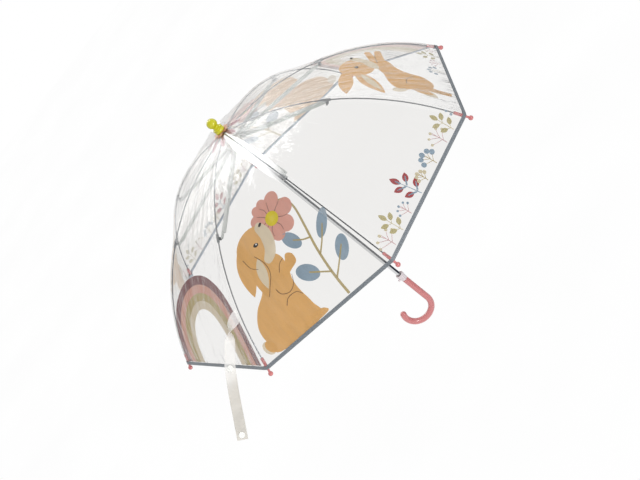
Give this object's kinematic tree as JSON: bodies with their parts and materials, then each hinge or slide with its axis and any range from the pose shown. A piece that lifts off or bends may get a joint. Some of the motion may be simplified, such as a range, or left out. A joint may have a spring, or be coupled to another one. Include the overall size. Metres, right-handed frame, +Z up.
{
  "type": "children's umbrella",
  "caption": "Open dome umbrella for a child: clear film canopy on wire ribs with stretchers, sliding runner, chrome shaft and hooked handle.",
  "frame": {"origin": "on the shaft axis, in the middle of the straight grip", "axes": "+Z up along the shaft towards the tip; -Y towards rib 3, the panel side seen first; the hook opens towards -X"},
  "size_m": [0.7198, 0.714, 0.5745],
  "materials": {
    "chrome": "polished",
    "rib_wire": "satin black-grey",
    "spring_steel": "bright",
    "tip_yellow": "glossy",
    "handle_pink": "glossy",
    "rib_tip_pink": "glossy",
    "milky_plastic": "translucent satin",
    "stretcher_plastic": "satin pale grey",
    "white_plastic": "satin",
    "clear_film": "clear soft plastic film with printed pictures",
    "rosette_film": "tinted film",
    "strap_film": "milky soft plastic"
  },
  "bodies": {
    "shaft_group": {"shaft_tube": "chrome", "ferrule": "tip_yellow", "rosette": "rosette_film", "canopy_washer": "white_plastic", "crown_notch": "white_plastic", "crown_wire": "spring_steel", "stop_ring": "spring_steel", "handle": "handle_pink", "handle_collar": "milky_plastic"},
    "open_catch": {"open_catch": "spring_steel"},
    "closed_catch": {"closed_catch": "spring_steel"},
    "runner": {"runner": "white_plastic", "runner_wire": "spring_steel"},
    "rib_arm_1": {"rib_1": "rib_wire", "rib_tip_1": "rib_tip_pink", "joint_clip_1": "rib_wire", "canopy_gore_1": "clear_film"},
    "stretcher_arm_1": {"stretcher_1": "stretcher_plastic"},
    "rib_arm_2": {"rib_2": "rib_wire", "rib_tip_2": "rib_tip_pink", "joint_clip_2": "rib_wire", "canopy_gore_2": "clear_film"},
    "stretcher_arm_2": {"stretcher_2": "stretcher_plastic"},
    "rib_arm_3": {"rib_3": "rib_wire", "rib_tip_3": "rib_tip_pink", "joint_clip_3": "rib_wire", "canopy_gore_3": "clear_film"},
    "stretcher_arm_3": {"stretcher_3": "stretcher_plastic"},
    "rib_arm_4": {"rib_4": "rib_wire", "rib_tip_4": "rib_tip_pink", "joint_clip_4": "rib_wire", "canopy_gore_4": "clear_film"},
    "stretcher_arm_4": {"stretcher_4": "stretcher_plastic"},
    "rib_arm_5": {"rib_5": "rib_wire", "rib_tip_5": "rib_tip_pink", "joint_clip_5": "rib_wire", "canopy_gore_5": "clear_film"},
    "stretcher_arm_5": {"stretcher_5": "stretcher_plastic"},
    "rib_arm_6": {"rib_6": "rib_wire", "rib_tip_6": "rib_tip_pink", "joint_clip_6": "rib_wire", "canopy_gore_6": "clear_film"},
    "stretcher_arm_6": {"stretcher_6": "stretcher_plastic"},
    "rib_arm_7": {"rib_7": "rib_wire", "rib_tip_7": "rib_tip_pink", "joint_clip_7": "rib_wire", "canopy_gore_7": "clear_film"},
    "stretcher_arm_7": {"stretcher_7": "stretcher_plastic"},
    "rib_arm_8": {"rib_8": "rib_wire", "rib_tip_8": "rib_tip_pink", "joint_clip_8": "rib_wire", "canopy_gore_8": "clear_film"},
    "stretcher_arm_8": {"stretcher_8": "stretcher_plastic"},
    "strap_end": {"strap_tail": "strap_film", "snap_stud": "white_plastic", "snap_cap": "white_plastic"}
  },
  "joints": [
    {"name": "runner_slide", "type": "slide", "parent": "shaft_group", "child": "runner", "axis": [0, 0, -1], "range_m": [0, 0.32729], "deforming": ["canopy_gore_1", "canopy_gore_2", "canopy_gore_3", "canopy_gore_4", "canopy_gore_5", "canopy_gore_6", "canopy_gore_7", "canopy_gore_8"]},
    {"name": "rib_fold_1", "type": "hinge", "parent": "shaft_group", "child": "rib_arm_1", "pos_m": [-0.009, 0, 0.4724], "axis": [0, -1, 0], "range_deg": [0, 51.58]},
    {"name": "stretcher_fold_1", "type": "hinge", "parent": "runner", "child": "stretcher_arm_1", "pos_m": [-0.011, -0.006, 0.45], "axis": [0, 1, 0], "range_deg": [0, 79.06]},
    {"name": "rib_fold_2", "type": "hinge", "parent": "shaft_group", "child": "rib_arm_2", "pos_m": [-0.00636, -0.00636, 0.4724], "axis": [0.7071, -0.7071, 0], "range_deg": [0, 51.58]},
    {"name": "stretcher_fold_2", "type": "hinge", "parent": "runner", "child": "stretcher_arm_2", "pos_m": [-0.00354, -0.01202, 0.45], "axis": [-0.7071, 0.7071, 0], "range_deg": [0, 79.06]},
    {"name": "rib_fold_3", "type": "hinge", "parent": "shaft_group", "child": "rib_arm_3", "pos_m": [0, -0.009, 0.4724], "axis": [1, 0, 0], "range_deg": [0, 51.58]},
    {"name": "stretcher_fold_3", "type": "hinge", "parent": "runner", "child": "stretcher_arm_3", "pos_m": [0.006, -0.011, 0.45], "axis": [-1, 0, 0], "range_deg": [0, 79.06]},
    {"name": "rib_fold_4", "type": "hinge", "parent": "shaft_group", "child": "rib_arm_4", "pos_m": [0.00636, -0.00636, 0.4724], "axis": [0.7071, 0.7071, 0], "range_deg": [0, 51.58]},
    {"name": "stretcher_fold_4", "type": "hinge", "parent": "runner", "child": "stretcher_arm_4", "pos_m": [0.01202, -0.00354, 0.45], "axis": [-0.7071, -0.7071, 0], "range_deg": [0, 79.06]},
    {"name": "rib_fold_5", "type": "hinge", "parent": "shaft_group", "child": "rib_arm_5", "pos_m": [0.009, 0, 0.4724], "axis": [0, 1, 0], "range_deg": [0, 51.58]},
    {"name": "stretcher_fold_5", "type": "hinge", "parent": "runner", "child": "stretcher_arm_5", "pos_m": [0.011, 0.006, 0.45], "axis": [0, -1, 0], "range_deg": [0, 79.06]},
    {"name": "rib_fold_6", "type": "hinge", "parent": "shaft_group", "child": "rib_arm_6", "pos_m": [0.00636, 0.00636, 0.4724], "axis": [-0.7071, 0.7071, 0], "range_deg": [0, 51.58]},
    {"name": "stretcher_fold_6", "type": "hinge", "parent": "runner", "child": "stretcher_arm_6", "pos_m": [0.00354, 0.01202, 0.45], "axis": [0.7071, -0.7071, 0], "range_deg": [0, 79.06]},
    {"name": "rib_fold_7", "type": "hinge", "parent": "shaft_group", "child": "rib_arm_7", "pos_m": [0, 0.009, 0.4724], "axis": [-1, 0, 0], "range_deg": [0, 51.58]},
    {"name": "stretcher_fold_7", "type": "hinge", "parent": "runner", "child": "stretcher_arm_7", "pos_m": [-0.006, 0.011, 0.45], "axis": [1, 0, 0], "range_deg": [0, 79.06]},
    {"name": "rib_fold_8", "type": "hinge", "parent": "shaft_group", "child": "rib_arm_8", "pos_m": [-0.00636, 0.00636, 0.4724], "axis": [-0.7071, -0.7071, 0], "range_deg": [0, 51.58]},
    {"name": "stretcher_fold_8", "type": "hinge", "parent": "runner", "child": "stretcher_arm_8", "pos_m": [-0.01202, 0.00354, 0.45], "axis": [0.7071, 0.7071, 0], "range_deg": [0, 79.06]},
    {"name": "strap_swing", "type": "hinge", "parent": "rib_arm_2", "child": "strap_end", "pos_m": [-0.20915, -0.20915, 0.34754], "axis": [0.4796, 0.4796, 0.7348], "range_deg": [-6, 75], "stiffness_Nm_per_rad": 0.06},
    {"name": "open_catch_press", "type": "hinge", "parent": "shaft_group", "child": "open_catch", "pos_m": [0, 0.0018, 0.386], "axis": [1, 0, 0], "range_deg": [0, 6.9], "stiffness_Nm_per_rad": 0.8},
    {"name": "closed_catch_press", "type": "hinge", "parent": "shaft_group", "child": "closed_catch", "pos_m": [0, 0.0018, 0.087], "axis": [1, 0, 0], "range_deg": [0, 6.9], "stiffness_Nm_per_rad": 0.8}
  ],
  "couplings": [
    {"joint": "rib_fold_1", "follows": "runner_slide", "rad_per_m": 2.7497},
    {"joint": "stretcher_fold_1", "follows": "runner_slide", "rad_per_m": 4.2148},
    {"joint": "rib_fold_2", "follows": "runner_slide", "rad_per_m": 2.7497},
    {"joint": "stretcher_fold_2", "follows": "runner_slide", "rad_per_m": 4.2148},
    {"joint": "rib_fold_3", "follows": "runner_slide", "rad_per_m": 2.7497},
    {"joint": "stretcher_fold_3", "follows": "runner_slide", "rad_per_m": 4.2148},
    {"joint": "rib_fold_4", "follows": "runner_slide", "rad_per_m": 2.7497},
    {"joint": "stretcher_fold_4", "follows": "runner_slide", "rad_per_m": 4.2148},
    {"joint": "rib_fold_5", "follows": "runner_slide", "rad_per_m": 2.7497},
    {"joint": "stretcher_fold_5", "follows": "runner_slide", "rad_per_m": 4.2148},
    {"joint": "rib_fold_6", "follows": "runner_slide", "rad_per_m": 2.7497},
    {"joint": "stretcher_fold_6", "follows": "runner_slide", "rad_per_m": 4.2148},
    {"joint": "rib_fold_7", "follows": "runner_slide", "rad_per_m": 2.7497},
    {"joint": "stretcher_fold_7", "follows": "runner_slide", "rad_per_m": 4.2148},
    {"joint": "rib_fold_8", "follows": "runner_slide", "rad_per_m": 2.7497},
    {"joint": "stretcher_fold_8", "follows": "runner_slide", "rad_per_m": 4.2148}
  ]
}
